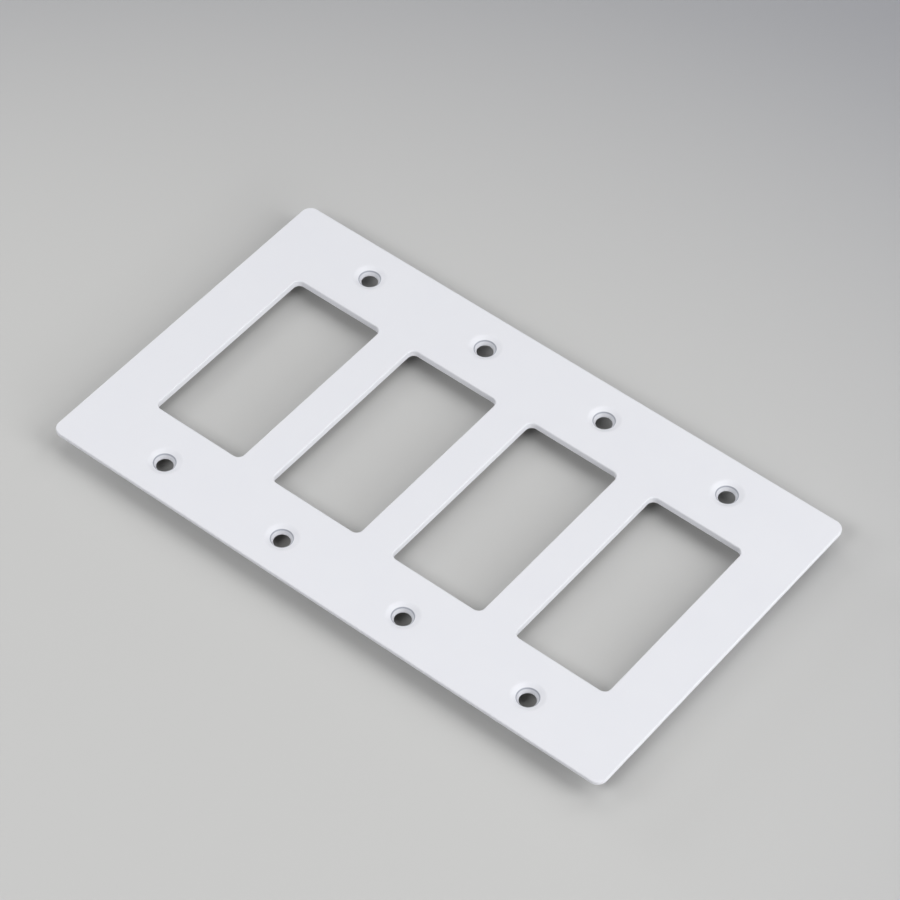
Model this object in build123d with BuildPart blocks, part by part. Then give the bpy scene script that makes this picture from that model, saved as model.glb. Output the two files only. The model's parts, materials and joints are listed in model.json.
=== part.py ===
"""A four-gang wall plate for rocker-style devices: one solid piece of painted metal.

The plate lies on its back, with the wall's plane at Z = 0 and its face up at +Z. X runs
along the row of gangs and Y is up when the plate hangs on the wall. All sizes are in
millimetres.
"""

import os

from build123d import *

# The plate
gangs = 4
gang_pitch = 46.04  # from one gang's centre line to the next
end_reach = 34.92  # from the last gang's centre line to the end of the plate
plate_height = 121.1
plate_thickness = 2.3
edge_band = 1.2  # height of the plain edge that shows all round
corner_radius = 3.4
edge_round = 0.4  # soft edge of the face, outside and in the openings

# The device openings
opening_width = 33.65
opening_height = 67.3
opening_corner = 2.3

# The screw seats, two to a gang
screw_spacing = 96.84
screw_hole_radius = 2.65
head_radius = 3.4  # widest part of the cone that holds the screw's head
head_cone_angle = 60
dish_radius = 5.15  # shallow dish round each screw's head
dish_depth = 0.9
dish_blend = 2.0  # rounds the dish over into the face

plate_length = gang_pitch * (gangs - 1) + 2 * end_reach
back_bevel = plate_thickness - edge_band
face_plane = Plane.XY.offset(plate_thickness)
dish_plane = face_plane.offset(-dish_depth)

with BuildPart() as wall_plate:
    with BuildSketch():
        RectangleRounded(plate_length, plate_height, corner_radius)
        with GridLocations(gang_pitch, 0, gangs, 1):
            RectangleRounded(opening_width, opening_height, opening_corner, mode=Mode.SUBTRACT)
    extrude(amount=plate_thickness)

    # The back slopes in behind the plain edge, so the wall shows as a thin line of shadow.
    back = wall_plate.faces().sort_by(Axis.Z)[0]
    chamfer(back.outer_wire().edges(), length=back_bevel)

    # The face is softened round its outline and round each opening.
    face = wall_plate.faces().sort_by(Axis.Z)[-1]
    fillet(face.edges(), radius=edge_round)

    # Each screw has a shallow dish, with a cone for its head and a clear hole below.
    with Locations(face_plane):
        with GridLocations(gang_pitch, screw_spacing, gangs, 2):
            Cone(
                bottom_radius=head_radius,
                top_radius=dish_radius,
                height=dish_depth,
                align=(Align.CENTER, Align.CENTER, Align.MAX),
                mode=Mode.SUBTRACT,
            )
    with Locations(dish_plane):
        with GridLocations(gang_pitch, screw_spacing, gangs, 2):
            CounterSinkHole(
                radius=screw_hole_radius,
                counter_sink_radius=head_radius,
                counter_sink_angle=head_cone_angle,
            )
    face = wall_plate.faces().sort_by(Axis.Z)[-1]
    dish_rims = face.edges().filter_by(GeomType.CIRCLE).filter_by(lambda rim: rim.is_closed)
    fillet(dish_rims, radius=dish_blend)

wall_plate.part.label = "wall_plate"

os.makedirs("parts", exist_ok=True)
export_step(wall_plate.part, "parts/wall_plate.step")
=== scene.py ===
"""A four-gang wall plate, lying face up in soft studio light.

The plate is one piece of metal with a white powder coat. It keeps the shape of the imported
model, and this file gives it its finish, the table below it, the lamps and the camera.
"""

import json
import math

import bmesh
import bpy
from mathutils import Matrix, Vector


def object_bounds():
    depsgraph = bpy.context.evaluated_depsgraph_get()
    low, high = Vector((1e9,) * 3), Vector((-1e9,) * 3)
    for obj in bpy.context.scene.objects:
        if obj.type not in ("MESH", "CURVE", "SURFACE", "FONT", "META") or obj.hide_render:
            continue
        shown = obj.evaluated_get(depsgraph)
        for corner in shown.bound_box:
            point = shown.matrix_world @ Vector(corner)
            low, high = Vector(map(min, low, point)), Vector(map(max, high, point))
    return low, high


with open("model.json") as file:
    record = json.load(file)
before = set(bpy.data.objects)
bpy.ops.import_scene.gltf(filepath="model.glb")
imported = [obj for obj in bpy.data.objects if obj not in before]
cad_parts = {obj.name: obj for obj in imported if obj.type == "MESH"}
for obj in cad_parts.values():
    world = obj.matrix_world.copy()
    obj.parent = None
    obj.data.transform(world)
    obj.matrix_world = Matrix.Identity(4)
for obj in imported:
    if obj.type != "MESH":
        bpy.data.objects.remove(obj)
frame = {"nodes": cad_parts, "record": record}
cad_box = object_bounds()
scene = bpy.context.scene
scene.view_settings.view_transform = "Standard"

# Camera
# A long lens looks down on the plate from in front and from the right. It is turned a
# little about its own line of sight, as a camera on a tripod often is.
camera_place = Vector((0.44475, -0.57315, 0.87590))
camera_aim = Vector((-0.005420, 0.009047, 0.002405))
camera_roll = math.radians(1.2266)
lens_mm = 151.811
sensor_mm = 36.0

camera_data = bpy.data.cameras.new("camera")
camera_data.lens = lens_mm
camera_data.sensor_width = sensor_mm
camera = bpy.data.objects.new("camera", camera_data)
camera_shift = Matrix.Translation(camera_place)
camera_turn = (camera_aim - camera_place).to_track_quat("-Z", "Y").to_matrix().to_4x4()
camera.matrix_world = camera_shift @ camera_turn @ Matrix.Rotation(camera_roll, 4, "Z")
scene.collection.objects.link(camera)
scene.camera = camera


# Wall plate
# One piece of hot-rolled steel sheet, cut and countersunk, then sprayed from the front with
# white powder and baked: a satin skin with a faint orange peel, and a bare back.
def linear(hex_colour):
    """An sRGB hex value as the linear colour that a shader takes."""
    channels = [int(hex_colour[i : i + 2], 16) / 255 for i in (1, 3, 5)]
    return [c / 12.92 if c <= 0.04045 else ((c + 0.055) / 1.055) ** 2.4 for c in channels] + [1.0]


def add_node(tree, kind, **values):
    """Adds a node, sets its properties, and sets or links its inputs.

    An input goes by its name, with _ for a space, or by its number, as in i0. A node that is
    given as the value of an input stands for its first output.
    """
    node = tree.nodes.new(kind)
    for name, value in values.items():
        if hasattr(node, name):
            setattr(node, name, value)
            continue
        numbered = name[0] == "i" and name[1:].isdigit()
        socket = node.inputs[int(name[1:]) if numbered else name.replace("_", " ")]
        if isinstance(value, bpy.types.Node):
            value = value.outputs[0]
        if isinstance(value, bpy.types.NodeSocket):
            tree.links.new(value, socket)
        else:
            socket.default_value = value
    return node


mm = 0.001
screws = [mount for mount in frame["record"]["mounts"] if mount["kind"] == "bolt_pattern"]
gang_pitch = screws[1]["pos_m"][0] - screws[0]["pos_m"][0]
row_half = len(screws) / 2 * gang_pitch
screw_reach = screws[0]["dims"]["spacing_y_mm"] / 2 * mm  # from the plate's middle line
screw_hole_radius = screws[0]["dims"]["hole_r_mm"] * mm
seat_ring_radius = 3.4 * mm
seat_ring_width = 0.6 * mm
opening_half = (16.825 * mm, 33.65 * mm)
edge_bevel = 1.1 * mm
back_half = (cad_box[1][0] - edge_bevel, cad_box[1][1] - edge_bevel)
back_plane = 0.05 * mm  # what lies below this height is the back

powder_white = "#E5E6EB"
powder_shade = "#E2E3E9"
# Painted shade: the darker, bluer grey that the screw cones and the line at their rim are painted
# towards.
seat_shade_grey = "#979BA6"
cone_shade_amount = 0.16  # how far the cones are painted towards the shade grey, as painted shade in the recess
powder_roughness = (0.46, 0.54)
powder_ior = 1.5
peel_size = 1.1 * mm
peel_height = 0.02 * mm
peel_strength = 0.15
blotch_size = 14 * mm

bare_steel = "#78756C"
steel_shade = "#646158"
steel_roughness = 0.42
streak_length = 16 * mm
streak_stretch = 40.0  # how many times longer a streak is than it is wide
dust_size = 0.7 * mm
overspray = (3 * mm, 10 * mm)  # where the powder starts to fade on the back, and ends
overspray_wobble = 2.4 * mm
opening_creep = 3.0  # how many times less far it creeps in through the openings
hole_creep = 9.0  # and through the screw holes, where the cones catch most of it

white_powder_coat = bpy.data.materials.new("white_powder_coat")
white_powder_coat.use_nodes = True
tree = white_powder_coat.node_tree
tree.nodes.clear()
place = add_node(tree, "ShaderNodeTexCoord").outputs["Object"]
xyz = add_node(tree, "ShaderNodeSeparateXYZ", Vector=place)
side_x = add_node(tree, "ShaderNodeMath", operation="ABSOLUTE", i0=xyz.outputs["X"])
side_y = add_node(tree, "ShaderNodeMath", operation="ABSOLUTE", i0=xyz.outputs["Y"])
in_row = add_node(tree, "ShaderNodeClamp", Value=xyz.outputs["X"], Min=-row_half, Max=row_half)
gang_x = add_node(tree, "ShaderNodeMath", operation="WRAP", i0=in_row, i1=gang_pitch, i2=0.0)
gang_x = add_node(tree, "ShaderNodeMath", operation="SUBTRACT", i0=gang_x, i1=gang_pitch / 2)
gang_x = add_node(tree, "ShaderNodeMath", operation="ABSOLUTE", i0=gang_x)
on_back = add_node(
    tree, "ShaderNodeMath", operation="LESS_THAN", i0=xyz.outputs["Z"], i1=back_plane
)
off_back = add_node(
    tree, "ShaderNodeMath", operation="GREATER_THAN", i0=xyz.outputs["Z"], i1=back_plane
)

# How far a point is from the axis of the nearest screw gives the cone, painted a little darker
# and bluer as painted shade in the recess, and the ring at the cone's rim, painted darkest.
screw_y = add_node(tree, "ShaderNodeMath", operation="SUBTRACT", i0=side_y, i1=screw_reach)
screw_offset = add_node(tree, "ShaderNodeCombineXYZ", X=gang_x, Y=screw_y, Z=0.0)
from_screw = add_node(tree, "ShaderNodeVectorMath", operation="LENGTH", i0=screw_offset)
from_screw = from_screw.outputs["Value"]
from_ring = add_node(
    tree, "ShaderNodeMath", operation="SUBTRACT", i0=from_screw, i1=seat_ring_radius
)
from_ring = add_node(tree, "ShaderNodeMath", operation="ABSOLUTE", i0=from_ring)
rim_line_shade = add_node(
    tree,
    "ShaderNodeMapRange",
    interpolation_type="SMOOTHSTEP",
    Value=from_ring,
    From_Min=seat_ring_width / 2,
    From_Max=0.0,
)
cone_shade_part = add_node(tree, "ShaderNodeMath", operation="LESS_THAN", i0=from_screw, i1=seat_ring_radius)
cone_shade_part = add_node(tree, "ShaderNodeMath", operation="MULTIPLY", i0=cone_shade_part, i1=cone_shade_amount)
seat_shade = add_node(tree, "ShaderNodeMath", operation="MAXIMUM", i0=rim_line_shade, i1=cone_shade_part)
seat_shade = add_node(tree, "ShaderNodeMath", operation="MULTIPLY", i0=seat_shade, i1=off_back)

# How far a point on the back is from the nearest edge that the powder wraps round gives the
# bare steel, with a dusty border.
from_end = add_node(tree, "ShaderNodeMath", operation="SUBTRACT", i0=back_half[0], i1=side_x)
from_top = add_node(tree, "ShaderNodeMath", operation="SUBTRACT", i0=back_half[1], i1=side_y)
outer = add_node(tree, "ShaderNodeMath", operation="MINIMUM", i0=from_end, i1=from_top)
beside = add_node(tree, "ShaderNodeMath", operation="SUBTRACT", i0=gang_x, i1=opening_half[0])
above = add_node(tree, "ShaderNodeMath", operation="SUBTRACT", i0=side_y, i1=opening_half[1])
from_opening = add_node(tree, "ShaderNodeMath", operation="MAXIMUM", i0=beside, i1=above)
from_opening = add_node(
    tree, "ShaderNodeMath", operation="MULTIPLY", i0=from_opening, i1=opening_creep
)
from_hole = add_node(
    tree, "ShaderNodeMath", operation="SUBTRACT", i0=from_screw, i1=screw_hole_radius
)
from_hole = add_node(tree, "ShaderNodeMath", operation="MULTIPLY", i0=from_hole, i1=hole_creep)
inner = add_node(tree, "ShaderNodeMath", operation="MINIMUM", i0=from_opening, i1=from_hole)
from_edge = add_node(tree, "ShaderNodeMath", operation="MINIMUM", i0=outer, i1=inner)
dust = add_node(tree, "ShaderNodeTexNoise", Vector=place, Scale=1 / dust_size, Detail=3.0)
dusty_edge = add_node(
    tree,
    "ShaderNodeMath",
    operation="MULTIPLY_ADD",
    i0=dust.outputs["Fac"],
    i1=2 * overspray_wobble,
    i2=from_edge,
)
bare = add_node(
    tree,
    "ShaderNodeMapRange",
    interpolation_type="SMOOTHSTEP",
    Value=dusty_edge,
    From_Min=overspray[0] + overspray_wobble,
    From_Max=overspray[1] + overspray_wobble,
)
bare = add_node(tree, "ShaderNodeMath", operation="MULTIPLY", i0=bare, i1=on_back)

# The rolled steel has fine streaks that run the length of the plate.
along = add_node(tree, "ShaderNodeMapping", Vector=place, Scale=(1.0, streak_stretch, 1.0))
streaks = add_node(tree, "ShaderNodeTexNoise", Vector=along, Scale=1 / streak_length, Detail=4.0)
steel = add_node(
    tree,
    "ShaderNodeMix",
    data_type="RGBA",
    Factor=streaks.outputs["Fac"],
    i6=linear(steel_shade),
    i7=linear(bare_steel),
)

# The powder is even, with a slight drift in tone and gloss and the ripple of orange peel.
blotch = add_node(tree, "ShaderNodeTexNoise", Vector=place, Scale=1 / blotch_size, Detail=2.0)
powder = add_node(
    tree,
    "ShaderNodeMix",
    data_type="RGBA",
    Factor=blotch.outputs["Fac"],
    i6=linear(powder_shade),
    i7=linear(powder_white),
)
# Painted shade: the cones are mixed a little, and the line at their rim most, towards the darker
# grey.
powder = add_node(
    tree,
    "ShaderNodeMix",
    data_type="RGBA",
    Factor=seat_shade,
    i6=powder.outputs[2],
    i7=linear(seat_shade_grey),
)
skin = add_node(
    tree,
    "ShaderNodeMix",
    data_type="RGBA",
    Factor=bare,
    i6=powder.outputs[2],
    i7=steel.outputs[2],
)
powder_gloss = add_node(
    tree,
    "ShaderNodeMapRange",
    Value=blotch.outputs["Fac"],
    To_Min=powder_roughness[0],
    To_Max=powder_roughness[1],
)
gloss = add_node(tree, "ShaderNodeMix", Factor=bare, i2=powder_gloss, i3=steel_roughness)
peel = add_node(tree, "ShaderNodeTexNoise", Vector=place, Scale=1 / peel_size, Detail=2.0)
bump = add_node(
    tree,
    "ShaderNodeBump",
    Height=peel.outputs["Fac"],
    Strength=peel_strength,
    Distance=peel_height,
)
coat = add_node(
    tree,
    "ShaderNodeBsdfPrincipled",
    Base_Color=skin.outputs[2],
    Metallic=bare,
    Roughness=gloss,
    IOR=powder_ior,
    Normal=bump,
)
add_node(tree, "ShaderNodeOutputMaterial", Surface=coat)

plate = frame["nodes"]["wall_plate"]
plate.data.materials.clear()
plate.data.materials.append(white_powder_coat)

# Table top
# A pale grey laminate sheet that fills the picture. The plate was raised a little above
# it for the photograph, so its shadow falls soft and clear of its edges.
table_half = 4.0
table_below = 5 * mm
table_grey = "#C6C6C5"
# Painted shade: the darker, cooler grey of the painted falloff at the table's far side.
painted_falloff_grey = "#9A9BA0"
table_roughness = 0.9
table_ior = 1.45
pool_middle = (-101 * mm, -300 * mm, 0.0)
pool_turn = math.radians(65.5)
pool_stretch = 1.46  # how much longer the pool is along its own X than across
pool_edge = (212 * mm, 404 * mm)  # where the painted darkening starts, and about where it stops
pool_softness = 0.5  # how gently the painted darkening comes to its stop

floor_mesh = bmesh.new()
bmesh.ops.create_grid(floor_mesh, x_segments=1, y_segments=1, size=table_half)
floor_height = cad_box[0][2] - table_below
bmesh.ops.translate(floor_mesh, verts=floor_mesh.verts, vec=(0, 0, floor_height))
floor_data = bpy.data.meshes.new("table_top")
floor_mesh.to_mesh(floor_data)
floor_mesh.free()
floor = bpy.data.objects.new("table_top", floor_data)
scene.collection.objects.link(floor)

# The sheet's colour is painted with light: the near part is painted as an even pool of light, and
# towards the far side it is painted darker and cooler, a painted falloff like that where a studio
# table sweeps up into its backdrop.
table_laminate = bpy.data.materials.new("table_laminate")
table_laminate.use_nodes = True
tree = table_laminate.node_tree
tree.nodes.clear()
in_pool = add_node(
    tree,
    "ShaderNodeMapping",
    vector_type="TEXTURE",
    Vector=add_node(tree, "ShaderNodeTexCoord").outputs["Object"],
    Location=pool_middle,
    Rotation=(0.0, 0.0, pool_turn),
    Scale=(pool_stretch, 1.0, 1.0),
)
from_pool = add_node(tree, "ShaderNodeVectorMath", operation="LENGTH", i0=in_pool)
painted_falloff = add_node(
    tree,
    "ShaderNodeMapRange",
    Value=from_pool.outputs["Value"],
    From_Min=pool_edge[0],
    From_Max=2 * pool_edge[1] - pool_edge[0],
    To_Max=2.0,
)
painted_falloff = add_node(tree, "ShaderNodeMath", operation="POWER", i0=painted_falloff, i1=2.0)
painted_falloff = add_node(tree, "ShaderNodeMath", operation="SMOOTH_MIN", i0=painted_falloff, i1=1.0, i2=pool_softness)
sheet_grey = add_node(
    tree,
    "ShaderNodeMix",
    data_type="RGBA",
    Factor=painted_falloff,
    i6=linear(table_grey),
    i7=linear(painted_falloff_grey),
)
sheet = add_node(
    tree,
    "ShaderNodeBsdfPrincipled",
    Base_Color=sheet_grey.outputs[2],
    Roughness=table_roughness,
    IOR=table_ior,
)
add_node(tree, "ShaderNodeOutputMaterial", Surface=sheet)
floor_data.materials.append(table_laminate)


# Lamps
# Softboxes that face the plate, each given by its bearing from +X and its height angle in
# degrees, its distance and size in metres, and its power in watts.
def softbox(name, bearing, height_angle, distance, width, height, watts):
    """An area lamp that faces the plate."""
    lamp = bpy.data.lights.new(name, "AREA")
    lamp.shape = "RECTANGLE"
    lamp.size = width
    lamp.size_y = height
    lamp.energy = watts
    turn, lift = math.radians(bearing), math.radians(height_angle)
    out = math.cos(lift)
    away = Vector((out * math.cos(turn), out * math.sin(turn), math.sin(lift)))
    lamp_turn = away.to_track_quat("Z", "Y").to_matrix().to_4x4()
    stand = bpy.data.objects.new(name, lamp)
    stand.matrix_world = Matrix.Translation(away * distance) @ lamp_turn
    scene.collection.objects.link(stand)


# The key light comes from the right and behind, and wraps round to the back left.
softbox("key_softbox", 20, 40, distance=1.0, width=0.5, height=0.5, watts=3.41)
softbox("back_right_softbox", 80, 40, distance=1.0, width=0.5, height=0.5, watts=1.56)
softbox("back_left_softbox", 145, 50, distance=1.0, width=0.5, height=0.5, watts=1.68)
softbox("top_softbox", 20, 76, distance=1.0, width=0.5, height=0.5, watts=1.31)

# Fills from the front and the left keep the near edges and the shadows open.
softbox("front_softbox", 265, 48, distance=0.9, width=0.4, height=0.35, watts=2.28)
softbox("left_softbox", 215, 32, distance=0.9, width=0.4, height=0.35, watts=1.69)

# Low panels further out at both ends light the table under the raised plate.
softbox("low_left_panel", 170, 12, distance=1.5, width=0.67, height=0.33, watts=5.37)
softbox("low_right_panel", 340, 10, distance=1.4, width=0.7, height=0.44, watts=5.85)
softbox("right_panel", 5, 22, distance=1.3, width=0.65, height=0.41, watts=3.76)

# Past the table the camera sees a pale wall, which gives no light of its own.
wall_grey = "#D4D5D7"

world = bpy.data.worlds.new("studio")
world.use_nodes = True
tree = world.node_tree
tree.nodes.clear()
camera_rays = add_node(tree, "ShaderNodeLightPath").outputs["Is Camera Ray"]
wall = add_node(tree, "ShaderNodeBackground", Color=linear(wall_grey), Strength=camera_rays)
add_node(tree, "ShaderNodeOutputWorld", Surface=wall)
scene.world = world
